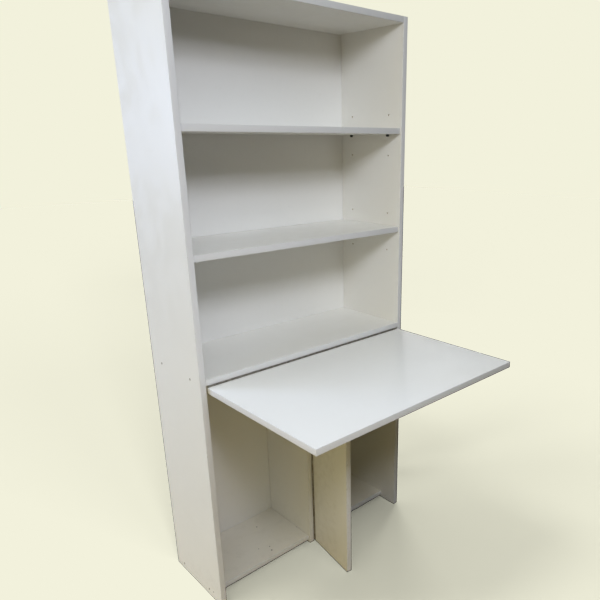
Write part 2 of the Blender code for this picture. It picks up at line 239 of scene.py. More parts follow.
def painted_shade_to_top(surface, share):
    """Share of painted shade, which grows towards the top of the cabinet and darkens the colour
    there.
    """
    return spread(surface.tree, surface.axes()[2], 0.85, 1.75, 0.0, share)


def melamine(name, low, high, thick, shift, marks=(), darkening=0.0):
    """White melamine face: faint mottling, fine texture, smudges, scratches, edge grime, painted
    shade towards the top, and on the floor boards a film of dust and painted shade.
    """
    s = Surface("melamine_" + name, shift, Specular_IOR_Level=0.5)
    tree = s.tree
    clouds = noise(tree, s.place, 2.6, 4.0, 0.55)
    mottle = noise(tree, s.place, 38.0, 5.0, 0.6)
    smudge = noise(tree, s.place, 7.0, 3.0, 0.6, 1.4)
    peel = noise(tree, s.place, 1500.0, 2.0, 0.5)
    weave = noise(tree, s.place, 420.0, 2.0, 0.5)
    rub_a = noise(tree, stretched(tree, s.place, (6.0, 6.0, 520.0), (0.3, 0.2, 0.1)), 1.0, 2.0)
    rub_b = noise(tree, stretched(tree, s.place, (480.0, 5.0, 5.0), (0.1, 0.5, 0.4)), 1.0, 2.0)
    scratch = math(
        tree, "MAXIMUM",
        spread(tree, rub_a, 0.70, 0.76, 0.0, 1.0), spread(tree, rub_b, 0.71, 0.77, 0.0, 1.0),
    )
    patches = spread(tree, noise(tree, s.place, 5.0, 2.0), 0.50, 0.62, 0.0, 1.0)
    scratch = math(tree, "MULTIPLY", scratch, patches)

    in_plane = [axis for axis in range(3) if axis != thick]
    rim = spread(tree, edge_distance(s, low, high, in_plane), 0.0, 0.016, 1.0, 0.0)
    dirt = math(tree, "MULTIPLY", rim, spread(tree, mottle, 0.42, 0.66, 0.0, 1.0))
    foot = spread(tree, s.axes()[2], 0.0, 0.16, 1.0, 0.0)
    scuffs = spread(tree, noise(tree, s.place, 24.0, 4.0, 0.7), 0.50, 0.70, 0.0, 1.0)
    dirt = math(tree, "MAXIMUM", dirt, math(tree, "MULTIPLY", foot, scuffs))

    cells = node(tree, "TexVoronoi", None, Vector=s.place, Scale=26.0)
    picked = node(tree, "SeparateColor", None, i0=cells.outputs["Color"]).outputs[0]
    fleck = math(
        tree, "MULTIPLY",
        spread(tree, cells.outputs["Distance"], 0.012, 0.026, 1.0, 0.0),
        spread(tree, picked, 0.955, 0.975, 0.0, 1.0),
    )
    pits = None
    for spot, radius in marks:
        offset = node(
            tree, "VectorMath", {"operation": "DISTANCE"}, i0=s.raw, i1=spot
        ).outputs["Value"]
        pit = spread(tree, offset, radius * 0.55, radius, 1.0, 0.0)
        pits = pit if pits is None else math(tree, "MAXIMUM", pits, pit)

    colour = mix(tree, clouds, tint(WHITE, 0.965), tint(WHITE, 1.02))
    colour = coat(tree, colour, mottle, 0.16, tint(WHITE, 0.90))
    # Painted shade: darker towards the top of the cabinet.
    colour = mix(tree, painted_shade_to_top(s, 0.45), colour, tint(WHITE, 0.82))
    # Floor boards only: a warm darker film. It is dust and painted shade on the left floor, and
    # painted shade alone on the right floor, for the shade under the flap.
    if darkening:
        dust_and_shade_film = math(tree, "MULTIPLY", spread(tree, clouds, 0.35, 0.65, 0.7, 1.0), darkening)
        colour = mix(tree, dust_and_shade_film, colour, DUST_AND_SHADE)
    colour = coat(tree, colour, dirt, 0.09, tint(GRIME, 1.0))
    colour = coat(tree, colour, scratch, 0.05, tint(GRIME, 1.4))
    colour = coat(tree, colour, fleck, 0.35, tint(GRIME, 0.7))
    if pits is not None:
        colour = coat(tree, colour, pits, 0.95, tint(GRIME, 0.30))
    s.link("Base Color", colour)

    rough = spread(tree, smudge, 0.35, 0.68, 0.30, 0.45)
    rough = math(tree, "ADD", rough, math(tree, "MULTIPLY", scratch, 0.12))
    rough = math(tree, "ADD", rough, math(tree, "MULTIPLY", dirt, 0.12), True)
    s.link("Roughness", rough)
    s.bump(((peel, 0.45), (weave, 0.8), (scratch, -0.9), (smudge, 0.6)), 0.00004, 0.55)
    return s.material


def edge_band(name, low, high, thick, shift):
    """Plastic edge band: fine mottling, nicks, yellowed wear along its arrises, and painted shade
    towards the top.
    """
    s = Surface("edge_band_" + name, shift, Specular_IOR_Level=0.5)
    tree = s.tree
    clouds = noise(tree, s.place, 5.0, 3.0, 0.5)
    mottle = noise(tree, s.place, 270.0, 3.0, 0.65)
    fine = noise(tree, s.place, 900.0, 2.0, 0.5)
    arris = spread(tree, edge_distance(s, low, high, (thick,)), 0.0, 0.0022, 1.0, 0.0)
    worn = math(
        tree, "MULTIPLY", arris,
        spread(tree, noise(tree, s.place, 46.0, 4.0, 0.65), 0.46, 0.66, 0.0, 1.0),
    )
    nick = math(
        tree, "MULTIPLY", arris,
        spread(tree, noise(tree, s.place, 160.0, 2.0, 0.5), 0.66, 0.72, 0.0, 1.0),
    )
    colour = mix(tree, clouds, tint(BAND_WHITE, 0.965), tint(BAND_WHITE, 1.03))
    colour = coat(tree, colour, mottle, 0.12, tint(BAND_WHITE, 0.88))
    # Painted shade: darker towards the top of the cabinet.
    colour = mix(tree, painted_shade_to_top(s, 0.90), colour, tint(BAND_WHITE, 0.76))
    colour = coat(tree, colour, worn, 0.16, tint(GRIME, 1.5))
    colour = coat(tree, colour, nick, 0.45, tint(GRIME, 0.8))
    s.link("Base Color", colour)
    rough = spread(tree, mottle, 0.3, 0.7, 0.32, 0.46)
    s.link("Roughness", math(tree, "ADD", rough, math(tree, "MULTIPLY", worn, 0.2), True))
    s.bump(((fine, 0.5), (mottle, 1.0), (nick, -3.0)), 0.00006, 0.6)
    return s.material


def chipboard():
    """Raw chipboard edge: pressed flakes of several browns, pitted."""
    s = Surface("chipboard", Specular_IOR_Level=0.25)
    tree = s.tree
    flat = stretched(tree, s.place, (420.0, 420.0, 780.0), (0.2, 0.1, 0.4))
    flakes = node(tree, "TexVoronoi", None, Vector=flat, Scale=1.0, Randomness=1.0)
    shade = node(tree, "SeparateColor", None, i0=flakes.outputs["Color"]).outputs[0]
    grain = noise(tree, s.place, 900.0, 4.0, 0.7)
    pits = spread(tree, noise(tree, s.place, 520.0, 3.0, 0.6), 0.60, 0.74, 0.0, 1.0)
    colour = mix(tree, shade, (0.37, 0.28, 0.18, 1.0), (0.60, 0.49, 0.35, 1.0))
    colour = coat(tree, colour, grain, 0.4, (0.26, 0.19, 0.12, 1.0))
    colour = coat(tree, colour, pits, 0.7, (0.12, 0.08, 0.05, 1.0))
    s.link("Base Color", colour)
    s.link("Roughness", spread(tree, shade, 0.0, 1.0, 0.78, 0.94))
    s.bump(((shade, 0.6), (grain, 0.7), (pits, -1.6)), 0.00025, 0.8)
    return s.material


def hardboard_lacquer():
    """The back board's inside: thin white lacquer, faintly dimpled, a little grey, with painted
    shade towards the top.
    """
    s = Surface("hardboard_lacquer", Specular_IOR_Level=0.45)
    tree = s.tree
    clouds = noise(tree, s.place, 2.1, 4.0, 0.55)
    mottle = noise(tree, s.place, 30.0, 5.0, 0.6)
    dimple = noise(tree, s.place, 650.0, 2.0, 0.55)
    # Specks of dust on the lacquer.
    darkening = spread(tree, noise(tree, s.place, 60.0, 4.0, 0.7), 0.58, 0.74, 0.0, 1.0)
    base = (0.845, 0.838, 0.815)
    colour = mix(tree, clouds, tint(base, 0.965), tint(base, 1.03))
    colour = coat(tree, colour, mottle, 0.14, tint(base, 0.88))
    # Painted shade: darker towards the top of the cabinet.
    colour = mix(tree, painted_shade_to_top(s, 0.60), colour, tint(base, 0.80))
    colour = coat(tree, colour, darkening, 0.06, tint(GRIME, 1.3))
    s.link("Base Color", colour)
    s.link("Roughness", spread(tree, mottle, 0.35, 0.65, 0.42, 0.56))
    s.bump(((dimple, 1.0), (mottle, 0.6)), 0.00006, 0.6)
    return s.material


def hardboard_bare():
    """The back board's outside: bare brown fibre, with the mesh print of its press."""
    s = Surface("hardboard_bare", Specular_IOR_Level=0.3)
    tree = s.tree
    clouds = noise(tree, s.place, 3.2, 5.0, 0.6)
    fibres = noise(tree, stretched(tree, s.place, (260.0, 60.0, 700.0)), 1.0, 5.0, 0.7, 1.5)
    xyz = s.axes()
    wire_x = math(tree, "SINE", math(tree, "MULTIPLY", xyz[0], 2 * pi / 0.0016))
    wire_z = math(tree, "SINE", math(tree, "MULTIPLY", xyz[2], 2 * pi / 0.0016))
    mesh_print = math(tree, "MULTIPLY", wire_x, wire_z)
    stains = spread(tree, noise(tree, s.place, 8.0, 4.0, 0.65, 0.8), 0.52, 0.72, 0.0, 1.0)
    colour = mix(tree, clouds, (0.20, 0.125, 0.070, 1.0), (0.29, 0.19, 0.11, 1.0))
    colour = coat(tree, colour, fibres, 0.45, (0.38, 0.27, 0.17, 1.0))
    colour = coat(tree, colour, stains, 0.35, (0.13, 0.085, 0.05, 1.0))
    s.link("Base Color", colour)
    s.link("Roughness", spread(tree, fibres, 0.3, 0.7, 0.62, 0.85))
    s.bump(((mesh_print, 0.35), (fibres, 1.0)), 0.00012, 0.7)
    return s.material


def metal(name, colour, dark, rough, scale, tarnish):
    """Bare or plated steel: drawn lines, tarnish in patches, rubbed spots."""
    s = Surface(name, Metallic=1.0)
    tree = s.tree
    lines = noise(tree, stretched(tree, s.place, (60.0, 900.0, 900.0)), 1.0, 3.0, 0.6)
    patches = noise(tree, s.place, scale, 5.0, 0.65, 0.6)
    spots = spread(tree, noise(tree, s.place, scale * 7, 3.0, 0.6), 0.58, 0.70, 0.0, 1.0)
    gone = spread(tree, patches, 0.35, 0.68, 0.0, tarnish)
    shade = mix(tree, gone, tint(colour, 1.0), tint(dark, 1.0))
    shade = coat(tree, shade, spots, 0.5, tint(dark, 0.7))
    s.link("Base Color", shade)
    dull = math(tree, "MULTIPLY", gone, 0.22)
    s.link("Roughness", math(tree, "ADD", spread(tree, lines, 0.3, 0.7, rough, rough + 0.14), dull))
    s.bump(((lines, 0.7), (spots, -0.8)), 0.00003, 0.5)
    return s.material


def moulded(name, colour, rough, scuff):
    """Moulded plastic: pebbled skin, scuffs that lighten or darken it."""
    s = Surface(name, Specular_IOR_Level=0.5)
    tree = s.tree
    skin = noise(tree, s.place, 1800.0, 2.0, 0.5)
    cloud = noise(tree, s.place, 120.0, 3.0, 0.6)
    rub = spread(tree, noise(tree, s.place, 420.0, 4.0, 0.7), 0.54, 0.70, 0.0, 1.0)
    shade = mix(tree, cloud, tint(colour, 0.85), tint(colour, 1.15))
    shade = coat(tree, shade, rub, 0.35, tint(scuff, 1.0))
    s.link("Base Color", shade)
    s.link("Roughness", math(tree, "ADD", rough, math(tree, "MULTIPLY", rub, 0.2)))
    s.bump(((skin, 0.6), (rub, -0.8)), 0.00004, 0.6)
    return s.material


def beech():
    """Plain beech: rings along the dowel and short dark rays."""
    s = Surface("beech_dowel", Specular_IOR_Level=0.3)
    tree = s.tree
    grain = noise(tree, stretched(tree, s.place, (300.0, 1400.0, 300.0)), 1.0, 4.0, 0.6, 0.4)
    rays = spread(tree, noise(tree, s.place, 1500.0, 2.0, 0.5), 0.60, 0.70, 0.0, 1.0)
    colour = mix(tree, grain, (0.55, 0.38, 0.23, 1.0), (0.72, 0.55, 0.37, 1.0))
    colour = coat(tree, colour, rays, 0.5, (0.40, 0.26, 0.15, 1.0))
    s.link("Base Color", colour)
    s.link("Roughness", spread(tree, grain, 0.3, 0.7, 0.55, 0.72))
    s.bump(((grain, 1.0), (rays, -0.6)), 0.00008, 0.6)
    return s.material


CHIPBOARD = chipboard()
LACQUER = hardboard_lacquer()
BARE = hardboard_bare()
HINGE_STEEL = metal("hinge_steel", (0.42, 0.39, 0.34), (0.16, 0.14, 0.11), 0.34, 70.0, 0.8)
ZINC = metal("screw_zinc", (0.62, 0.61, 0.59), (0.30, 0.28, 0.25), 0.26, 160.0, 0.6)
PIN_BLACK = moulded("pin_black", (0.022, 0.022, 0.024), 0.38, (0.10, 0.10, 0.10))
GLIDE = moulded("glide_plastic", (0.62, 0.61, 0.57), 0.45, (0.25, 0.22, 0.18))
BEECH = beech()

# ---------------------------------------------------------------- mesh helpers


def piece(name, mesh, body, replaced, materials):
    """Links a mesh, already in its place, as one shown piece that rides on a body."""
    obj = bpy.data.objects.new(name, mesh)
    bpy.context.scene.collection.objects.link(obj)
    for material in materials:
        mesh.materials.append(material)
    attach(obj, body)
    if replaced:
        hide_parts(*replaced)


def box_into(bm, low, high):
    """Adds a box between two corners, and gives back its vertices."""
    low, high = Vector(low), Vector(high)
    place = Matrix.Translation((low + high) / 2) @ Matrix.Diagonal((*(high - low), 1.0))
    return bmesh.ops.create_cube(bm, size=1.0, matrix=place)["verts"]


def pointing(at, direction):
    """Placement that puts local +Z along a direction at a point."""
    turn = Vector(direction).normalized().to_track_quat("Z", "Y").to_matrix().to_4x4()
    return Matrix.Translation(at) @ turn


def cylinder_into(bm, start, direction, length, r_start, r_end, sides=HOLE_SIDES):
    """Adds a closed cylinder or cone that runs from a point along a direction."""
    middle = Vector(start) + Vector(direction).normalized() * length / 2
    bmesh.ops.create_cone(
        bm, cap_ends=True, segments=sides, radius1=r_start, radius2=r_end,
        depth=length, matrix=pointing(middle, direction),
    )


def bore_into(bm, mouth, direction, rings, sides=HOLE_SIDES):
    """A closed cutter through rings of (radius, depth), from outside a mouth inwards."""
    place = pointing(mouth, direction)
    loops = []
    for radius, depth in rings:
        turns = [2 * pi * i / sides for i in range(sides)]
        loops.append([
            bm.verts.new(place @ Vector((radius * cos(t), radius * sin(t), depth))) for t in turns
        ])
    for near, far in zip(loops, loops[1:]):
        for i in range(sides):
            j = (i + 1) % sides
            bm.faces.new((near[i], near[j], far[j], far[i]))
    bm.faces.new(loops[0])
    bm.faces.new(loops[-1])


def to_mesh(bm, name, place=None):
    """Turns a finished bmesh into a mesh with its faces pointing out, in its place."""
    bmesh.ops.recalc_face_normals(bm, faces=bm.faces)
    mesh = bpy.data.meshes.new(name)
    bm.to_mesh(mesh)
    bm.free()
    if place is not None:
        mesh.transform(place)
    return mesh


def booleaned(mesh, steps):
    """A mesh after exact booleans: steps are (operation, other mesh) pairs."""
    scratch = [bpy.data.objects.new("scratch", mesh)]
    bpy.context.scene.collection.objects.link(scratch[0])
    for operation, other in steps:
        cutter = bpy.data.objects.new("scratch_cutter", other)
        bpy.context.scene.collection.objects.link(cutter)
        scratch.append(cutter)
        mod = scratch[0].modifiers.new("step", "BOOLEAN")
        mod.operation = operation
        mod.solver = "EXACT"
        mod.object = cutter
    graph = bpy.context.evaluated_depsgraph_get()
    result = bpy.data.meshes.new_from_object(scratch[0].evaluated_get(graph))
    if not result.polygons:
        raise RuntimeError(mesh.name + " is empty after its cuts")
    for obj in scratch:
        bpy.data.objects.remove(obj, do_unlink=True)
    return result


def smooth_round(mesh, angle=35):
    """Shades a mesh smooth, except across edges sharper than the angle in degrees."""
    mesh.shade_smooth()
    mesh.set_sharp_from_angle(angle=radians(angle))
    return mesh


def node_mesh(name, place=None):
    """A welded copy of a CAD node's mesh, moved into a board's own frame."""
    mesh = frame["nodes"][name].data.copy()
    mesh.materials.clear()
    bm = bmesh.new()
    bm.from_mesh(mesh)
    bmesh.ops.remove_doubles(bm, verts=bm.verts, dist=1e-6)
    bm.to_mesh(mesh)
    bm.free()
    if place is not None:
        mesh.transform(place.inverted())
    return mesh


def mesh_box(mesh):
    """Lowest and highest corners of a mesh."""
    low = Vector(min(v.co[i] for v in mesh.vertices) for i in range(3))
    high = Vector(max(v.co[i] for v in mesh.vertices) for i in range(3))
    return low, high


# ---------------------------------------------------------------- boards


def band_mesh(name, low, high, axis, end, place):
    """A strip of edge band, with the arrises of its outer face rounded."""
    bm = bmesh.new()
    box_into(bm, low, high)
    outer = high[axis] if end > 0 else low[axis]
    edges = [
        edge for edge in bm.edges
        if all(abs(vert.co[axis] - outer) < 1e-6 for vert in edge.verts)
    ]
    bmesh.ops.bevel(
        bm, geom=edges, offset=BAND_ROUND, segments=4, profile=0.5, affect="EDGES"
    )
    return smooth_round(to_mesh(bm, name, place), 40)


def board(node_name, body, thick, bands, shift, place=None, holes=None, marks=(), darkening=0.0):
    """One board: the CAD solid cut back for its bands, with fine round holes.

    thick is the axis across it, bands the (axis, sign) of each banded end, and shift
    moves its noise, so that no two boards are marked alike.
    """
    mesh = node_mesh(node_name, place)
    low, high = mesh_box(mesh)
    core_low, core_high = low.copy(), high.copy()
    strips = []
    for label, (axis, end) in bands.items():
        strip_low, strip_high = core_low.copy(), core_high.copy()
        if end > 0:
            strip_low[axis] = core_high[axis] - BAND
            core_high[axis] = strip_low[axis] - SEAM
        else:
            strip_high[axis] = core_low[axis] + BAND
            core_low[axis] = strip_high[axis] + SEAM
        strips.append((label, axis, end, strip_low, strip_high))

    keep_low, keep_high = core_low.copy(), core_high.copy()
    for axis in range(3):
        if core_low[axis] == low[axis]:
            keep_low[axis] -= OVERLAP
        if core_high[axis] == high[axis]:
            keep_high[axis] += OVERLAP
    keep = bmesh.new()
    box_into(keep, keep_low, keep_high)
    steps = [("INTERSECT", to_mesh(keep, "keep"))]
    if holes:
        steps.append(("DIFFERENCE", holes))
    core = booleaned(mesh, steps)
    for polygon in core.polygons:
        level = polygon.center[thick]
        on_face = min(abs(level - low[thick]), abs(level - high[thick])) < NEAR_FACE
        facing_out = abs(polygon.normal[thick]) > 0.5
        polygon.material_index = 0 if on_face and facing_out else 1
    if place is not None:
        core.transform(place)
    face = melamine(node_name, low, high, thick, shift, marks, darkening)
    piece(node_name + "_board", core, body, (node_name,), (face, CHIPBOARD))
    for label, axis, end, strip_low, strip_high in strips:
        name = f"{node_name}_band_{label}"
        strip = band_mesh(name, strip_low, strip_high, axis, end, place)
        skin = edge_band(f"{node_name}_{label}", low, high, thick, shift)
        piece(name, strip, body, (), (skin,))


def centre(node_name):
    """Middle of a CAD node's box."""
    low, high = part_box(node_name)
    return (low + high) / 2


def inner_face(side, sign):
    """The x of a side panel's face inside the cabinet."""
    low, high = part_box("side_panel_" + side)
    return low.x if sign > 0 else high.x


def side_holes(side, sign):
    """Cutters of one side panel: shelf-pin holes inside, connecting screws outside."""
    bm = bmesh.new()
    low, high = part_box("side_panel_" + side)
    outside = high.x if sign > 0 else low.x
    for level in PIN_LEVELS:
        for row in PIN_ROWS:
            pin = centre(f"shelf_pin_{level}_{side}_{row}")
            for step in (-1, 0, 1):
                mouth = Vector((inner_face(side, sign), pin.y, pin.z + step * HOLE_STEP))
                bore_into(bm, mouth, (sign, 0, 0), PIN_HOLE_RINGS)
    for level in SCREW_LEVELS:
        for number in (1, 2):
            head = centre(f"connector_{level}_{side}_{number}")
            start = Vector((outside + sign * HEAD_HOLE_START, head.y, head.z))
            length = HEAD_HOLE_START + HEAD_HOLE_DEEP
            cylinder_into(bm, start, (-sign, 0, 0), length, HEAD_HOLE_R, HEAD_HOLE_R)
    return to_mesh(bm, "side_holes")


# Dark nicks on the left floor board, and one by the left panel's foot: (place, radius).
FLOOR_MARKS = (
    ((-0.1215, 0.318, 0.030), 0.0030),
    ((-0.1570, 0.172, 0.030), 0.0036),
    ((-0.1510, 0.193, 0.030), 0.0026),
    ((-0.1870, 0.209, 0.030), 0.0022),
    ((-0.0120, 0.2135, 0.030), 0.0018),
)
CHIP_MARKS = (((-0.410, 0.139, 0.026), 0.0028),)

board("side_panel_left", "cabinet", X, {"front": FRONT, "top": UPPER}, (3.1, 0.4, 1.7),
      holes=side_holes("left", -1), marks=CHIP_MARKS)
board("side_panel_right", "cabinet", X, {"front": FRONT, "top": UPPER}, (7.3, 2.9, 0.6),
      holes=side_holes("right", 1))
board("top_panel", "cabinet", Z, {"front": FRONT}, (1.9, 5.2, 3.3))
board("desk_shelf", "cabinet", Z, {"front": FRONT}, (4.4, 8.1, 2.2))
board("shelf_upper", "cabinet", Z, {"front": FRONT}, (6.6, 1.3, 9.2))
board("shelf_middle", "cabinet", Z, {"front": FRONT}, (2.8, 6.4, 5.9))
# The floor boards' darker film: dust and painted shade on the left, painted shade on the right.
board("bottom_panel_left", "cabinet", Z, {"front": FRONT}, (8.5, 3.7, 7.1),
      marks=FLOOR_MARKS, darkening=0.38)
board("bottom_panel_right", "cabinet", Z, {"front": FRONT}, (5.7, 9.6, 4.8), darkening=0.55)
board("divider_panel", "cabinet", X, {"front": FRONT}, (9.9, 7.7, 1.1))
board("desk_flap", "flap", Z, {"front": FRONT, "rear": REAR, "left": LEFT, "right": RIGHT},
      (0.7, 4.9, 8.8))

LEG_PIN = centre("leg_hinge_pin")
leg_frame = Matrix.Translation((LEG_PIN.x, LEG_PIN.y, 0.0)) @ Matrix.Rotation(LEG_REST, 4, "Z")
board("gate_leg", "leg", X, {"front": FRONT, "rear": REAR}, (3.6, 0.9, 6.2), place=leg_frame)


def back_board():
    """Thin hardboard, lacquered on its inner face only."""
    mesh = node_mesh("back_panel")
    low, high = mesh_box(mesh)
    for polygon in mesh.polygons:
        lacquered = polygon.normal.y < -0.9 and abs(polygon.center.y - low.y) < NEAR_FACE
        polygon.material_index = 0 if lacquered else 1
    piece("back_board", mesh, "cabinet", ("back_panel",), (LACQUER, BARE))
    return low, high


BACK_LOW, BACK_HIGH = back_board()

# ---------------------------------------------------------------- turned pieces


def turned(name, profile, place, cutters=()):
    """Turns a closed profile of (radius, z), top to bottom, into a smooth solid."""
    bm = bmesh.new()
    verts = [bm.verts.new((r, 0.0, z)) for r, z in profile]
    edges = [bm.edges.new(pair) for pair in zip(verts, verts[1:])]
    bmesh.ops.spin(
        bm, geom=verts + edges, cent=(0, 0, 0), axis=(0, 0, 1), angle=2 * pi,
        steps=TURN_STEPS, use_merge=True,
    )
    bmesh.ops.remove_doubles(bm, verts=bm.verts, dist=1e-7)
    mesh = to_mesh(bm, name)
    if cutters:
        mesh = booleaned(mesh, [("DIFFERENCE", cutter.copy()) for cutter in cutters])
        mesh.name = name
    mesh.transform(place)
    return smooth_round(mesh)


def rounded_end(radius, top, curve, steps=4):
    """Profile points of a soft end: from its flat middle out to its side."""
    points = [(0.0, top)]
    for i in range(steps + 1):
        angle = pi / 2 * i / steps
        points.append((radius - curve + curve * sin(angle), top - curve + curve * cos(angle)))
    return points


def hex_socket(radius, depth):
    """Cutter for the socket of a connecting screw, from just above its head."""
    bm = bmesh.new()
    cylinder_into(bm, (0, 0, 0.001), (0, 0, -1), depth + 0.001, radius, radius, 6)
    return to_mesh(bm, "hex_socket")


def cross_recess(width, depth, reach):
    """Cutters for the two tapered slots of a cross-head screw.

    They are cut one after the other. As one cutter that crosses itself they would take
    the whole screw away.
    """
    slots = []
    for turn, bottom in ((0.0, depth), (pi / 2, depth * 1.05)):
        bm = bmesh.new()
        verts = box_into(bm, (-reach, -width / 2, -bottom), (reach, width / 2, 0.001))
        for vert in verts:
            if vert.co.z < 0:
                vert.co.x *= 0.45
        bmesh.ops.rotate(bm, verts=verts, cent=(0, 0, 0), matrix=Matrix.Rotation(turn, 3, "Z"))
        slots.append(to_mesh(bm, "cross_slot"))
    return slots


PIN_R = 0.0036
PIN_OUT = 0.0095
pin_profile = rounded_end(PIN_R, PIN_OUT, 0.0012) + [
    (PIN_R, 0.0009), (0.0035, 0.0004), (0.0022, 0.0003), (0.0022, -0.0086), (0.0, -0.0090),
]
for side, sign in SIDES:
    for level in PIN_LEVELS:
        for row in PIN_ROWS:
            name = f"shelf_pin_{level}_{side}_{row}"
            middle = centre(name)
            mouth = (inner_face(side, sign), middle.y, middle.z)
            pin = turned(name, pin_profile, pointing(mouth, (-sign, 0, 0)))
            piece(name + "_turned", pin, "cabinet", (name,), (PIN_BLACK,))

connector_profile = [
    (0.0, 0.0), (0.0033, 0.0), (0.0035, -0.0002), (0.0035, -0.0020), (0.0024, -0.0034),
]
for turn_number in range(14):
    z = -0.0080 - turn_number * 0.0026
    connector_profile += [(0.0021, z), (0.0026, z - 0.0007), (0.0021, z - 0.0014)]
connector_profile += [(0.0021, -0.0445), (0.0009, -0.0478), (0.0, -0.0480)]
socket_cut = hex_socket(radius=0.0022, depth=0.0024)
for side, sign in SIDES:
    for level in SCREW_LEVELS:
        for number in (1, 2):
            name = f"connector_{level}_{side}_{number}"
            low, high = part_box(name)
            middle = (low + high) / 2
            head = (low.x if sign < 0 else high.x, middle.y, middle.z)
            place = pointing(head, (sign, 0, 0))
            screw = turned(name, connector_profile, place, (socket_cut,))
            piece(name + "_turned", screw, "cabinet", (name,), (ZINC,))

for name in sorted(frame["nodes"]):
    if name.startswith("dowel_"):
        for entry in frame["nodes"][name].material_slots:
            entry.material = BEECH

glide_low, glide_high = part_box("leg_glide")
glide_middle = (glide_low + glide_high) / 2
glide_profile = [
    (0.0, 0.0144), (0.0004, 0.0140), (0.0010, 0.0129), (0.0010, 0.0024), (0.0066, 0.0024),
    (0.0071, 0.0021), (0.0074, 0.0014), (0.0072, 0.0008), (0.0062, 0.0001), (0.0055, 0.0),
    (0.0, 0.0),
]
glide_place = Matrix.Translation((glide_middle.x, glide_middle.y, glide_low.z))
piece("leg_glide_turned", turned("leg_glide", glide_profile, glide_place), "leg",
      ("leg_glide",), (GLIDE,))

# ---------------------------------------------------------------- continuous hinges


def arc(radius, start, end):
    """Points of an arc round the pin's line, between two angles in degrees."""
    turns = [radians(angle) for angle in evenly(start, end, ARC_POINTS)]
    return [(radius * cos(turn), radius * sin(turn)) for turn in turns]


def knuckle_outline():
    """Section of one leaf with its knuckle: the sheet, curled almost round the pin."""
    sheet_end = [(LEAF_FAR, LEAF_LOW), (LEAF_FAR, LEAF_HIGH)]
    outside = arc(KNUCKLE_R, 27.0, CURL_END)
    inside = arc(KNUCKLE_R - KNUCKLE_WALL, CURL_END, 9.0)
    return sheet_end + outside + inside


def extruded(bm, outline, x0, x1):
    """A straight bar of a (y, z) outline between two places along x."""
    ends = []
    for x in (x0, x1):
        ends.append([bm.verts.new((x, y, z)) for y, z in outline])
    bm.faces.new(ends[0])
    bm.faces.new(list(reversed(ends[1])))
    count = len(outline)
    for i in range(count):
        j = (i + 1) % count
        bm.faces.new((ends[0][j], ends[0][i], ends[1][i], ends[1][j]))


def leaf_mesh(name, length, own, screws, side, place):
    """One leaf: a sheet with every second knuckle, and countersunk screw holes."""
    count = int(round(length / KNUCKLE_PITCH))
    pitch = length / count
    sheet = bmesh.new()
    box_into(sheet, (0.0, LEAF_NEAR_PIN, LEAF_LOW), (length, LEAF_FAR, LEAF_HIGH))
    knuckles = bmesh.new()
    outline = knuckle_outline()
    for index in range(count):
        if index % 2 == own:
            extruded(
                knuckles, outline, index * pitch + KNUCKLE_PLAY, (index + 1) * pitch - KNUCKLE_PLAY
            )
    cuts = bmesh.new()
    for x in screws:
        cylinder_into(
            cuts, (x, SCREW_LINE, SCREW_HOLE_START), (0, 0, 1), SCREW_HOLE_DEEP,
            SCREW_HOLE_WIDE, SCREW_HOLE_NARROW, SCREW_HOLE_SIDES,
        )
    mesh = booleaned(
        to_mesh(sheet, name),
        [("UNION", to_mesh(knuckles, "knuckles")), ("DIFFERENCE", to_mesh(cuts, "cuts"))],
    )
    mesh.name = name
    if side < 0:
        mesh.transform(Matrix.Scale(-1.0, 4, (0, 0, 1)))
        mesh.flip_normals()
    mesh.transform(place)
    return smooth_round(mesh, 30)


hinge_screw_profile = [
    (0.0, 0.00010), (0.0012, 0.00008), (0.0022, 0.0), (0.0026, -0.0001), (0.0015, -0.0013),
    (0.0012, -0.0017),
]
for turn_number in range(7):
    z = -0.0022 - turn_number * 0.0011
    hinge_screw_profile += [(0.0010, z), (0.0014, z - 0.0004), (0.0010, z - 0.0008)]
hinge_screw_profile += [(0.0009, -0.0102), (0.0003, -0.0117), (0.0, -0.0118)]
recess_cut = cross_recess(width=0.0006, depth=0.0009, reach=0.0015)


def hinge(label, length, screws, shared, parts):
    """Two leaves, their screws and the pin, with the pin along the local x axis.

    Every shared-th screw stands for a CAD node, and the others are extra. parts holds
    each leaf's (kind, body, side, own, place): side is the way its sheet faces, and own
    is 0 or 1, the knuckles that are its.
    """
    for kind, body, side, own, place in parts:
        name = f"{label}_hinge_leaf_{kind}"
        mesh = leaf_mesh(name, length, own, screws, side, place)
        piece(name + "_rolled", mesh, body, (name,), (HINGE_STEEL,))
        number = 0
        for index, x in enumerate(screws):
            head = place @ Vector((x, SCREW_LINE, side * LEAF_LOW))
            out = place.to_3x3() @ Vector((0, 0, -side))
            stands_for = ()
            title = f"{label}_hinge_screw_{kind}_extra_{index + 1}"
            if index % shared == 0:
                number += 1
                stands_for = (f"{label}_hinge_screw_{kind}_{number}",)
                title = stands_for[0] + "_turned"
            stopped_at = Matrix.Rotation(radians(SCREW_TURN * index + FIRST_TURN), 4, "Z")
            mesh = turned(title, hinge_screw_profile, pointing(head, out) @ stopped_at, recess_cut)
            piece(title, mesh, body, stands_for, (ZINC,))
    title = f"{label}_hinge_pin"
    base = parts[0][4]
    along = base.to_3x3() @ Vector((1, 0, 0))
    start = base @ Vector((HINGE_END_PLAY, 0, 0))
    reach = length - 2 * HINGE_END_PLAY
    profile = rounded_end(HINGE_PIN_R, reach, 0.0004) + [
        (HINGE_PIN_R, 0.0004), (HINGE_PIN_R - 0.0004, 0.0), (0.0, 0.0),
    ]
    piece(title + "_turned", turned(title, profile, pointing(start, along)), "cabinet",
          (title,), (HINGE_STEEL,))


